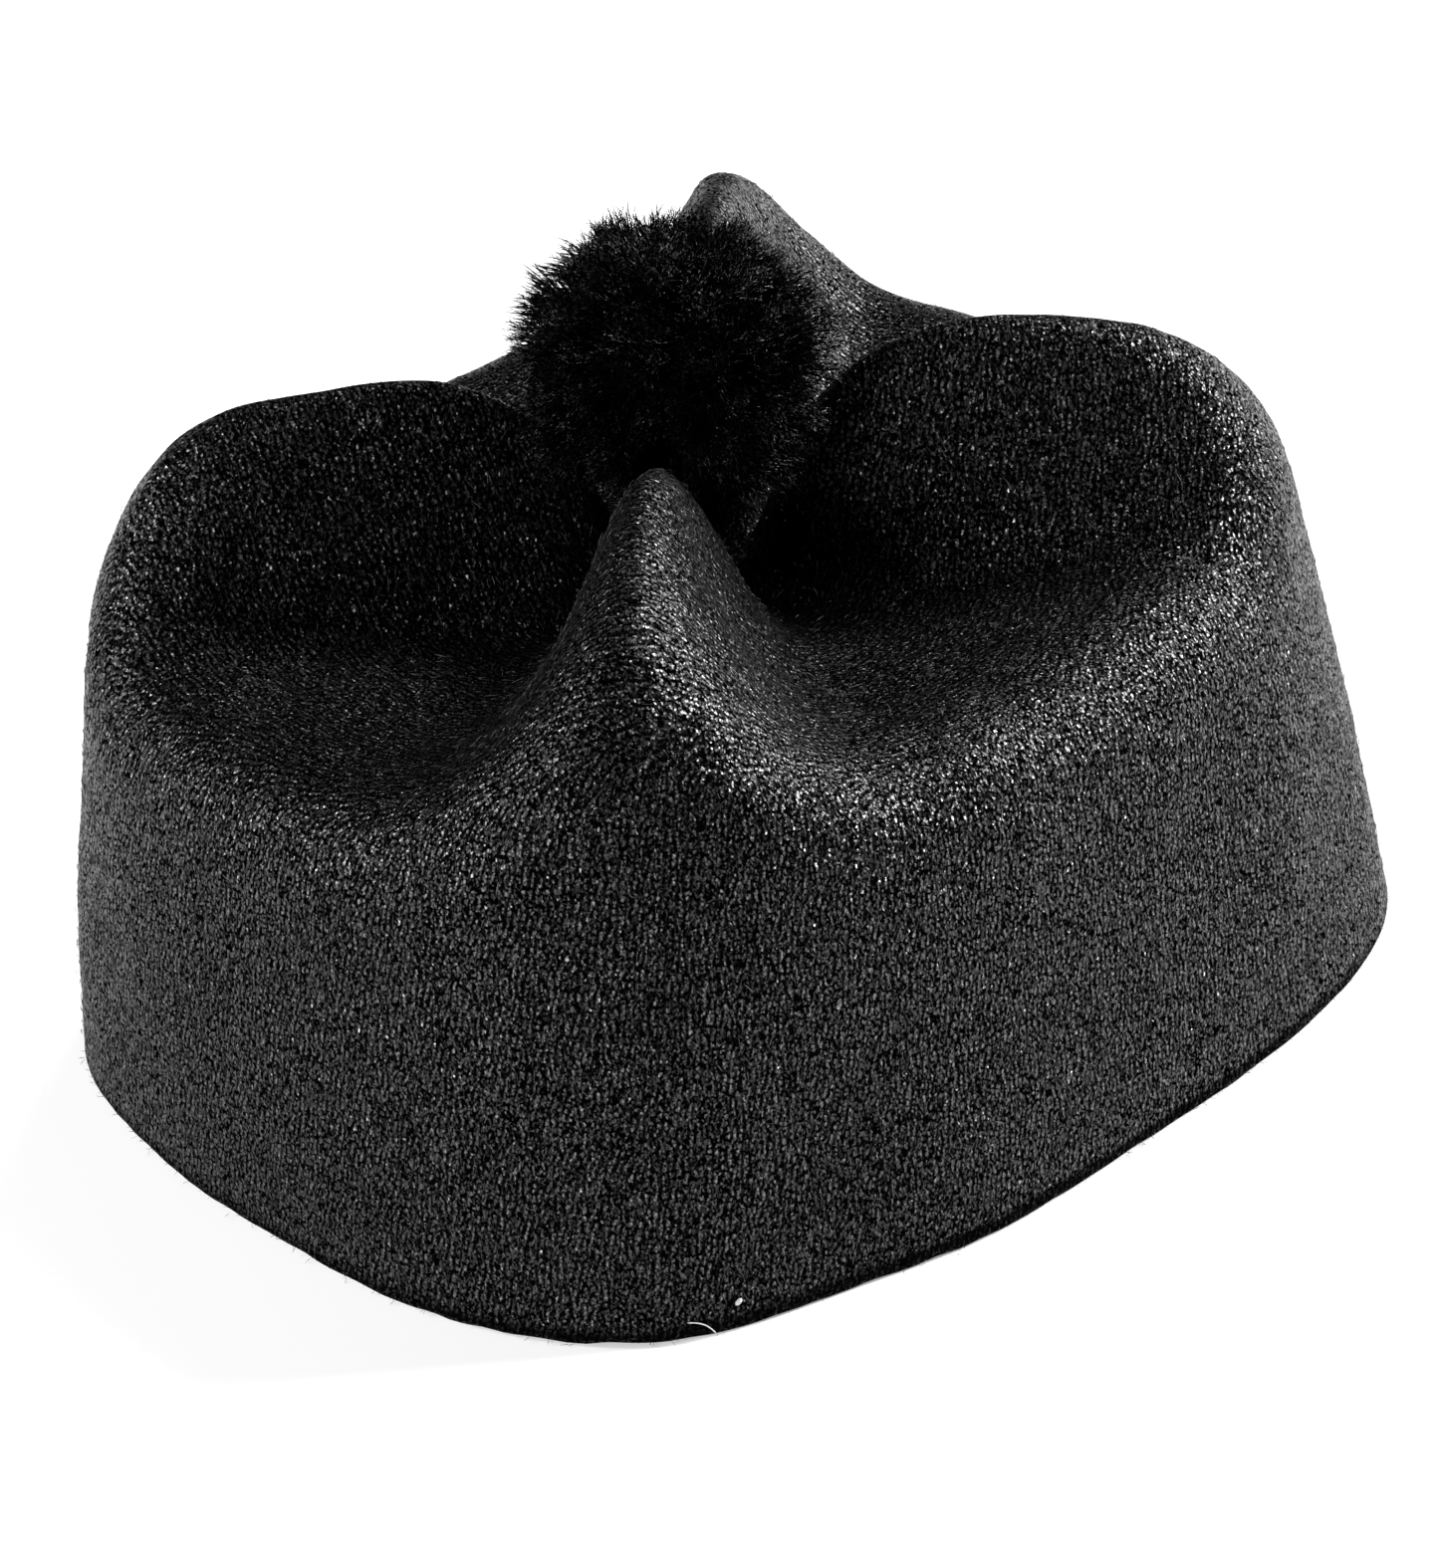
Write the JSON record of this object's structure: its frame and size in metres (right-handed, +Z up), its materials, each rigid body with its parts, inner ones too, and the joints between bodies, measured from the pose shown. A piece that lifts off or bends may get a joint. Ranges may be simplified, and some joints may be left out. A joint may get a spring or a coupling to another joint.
{
  "type": "costume biretta",
  "caption": "Soft costume biretta: a one-piece moulded felt cap with upright fins running out to its corners, a yarn pompom sewn on in the middle, and open below for the head.",
  "frame": {"origin": "centre of the head opening, on the plane that the cut rim stands on", "axes": "+Z up through the crown, Y along the long way of the head opening (forehead to nape), X across it"},
  "size_m": [0.1629, 0.1988, 0.1269],
  "materials": {
    "felt": "matte needled felt with grey fibre flecks",
    "yarn": "matte brushed yarn",
    "thread": "matte twisted thread"
  },
  "bodies": {
    "crown": {"crown_shell": "felt", "backing_patch": "felt", "anchor_stitch": "thread", "anchor_knot": "thread"},
    "neck": {"thread_neck": "thread"},
    "pompom": {"pompom_tie": "thread", "pompom_pile": "yarn"}
  },
  "joints": [
    {"name": "pompom_tilt_x", "type": "hinge", "parent": "crown", "child": "neck", "pos_m": [-0.00511, 0, 0.0691], "axis": [1, 0, 0], "range_deg": [-6, 6], "stiffness_Nm_per_rad": 0.02},
    {"name": "pompom_tilt_y", "type": "hinge", "parent": "neck", "child": "pompom", "pos_m": [-0.00538, 0, 0.07269], "axis": [0, 1, 0], "range_deg": [-6, 6], "stiffness_Nm_per_rad": 0.02}
  ]
}
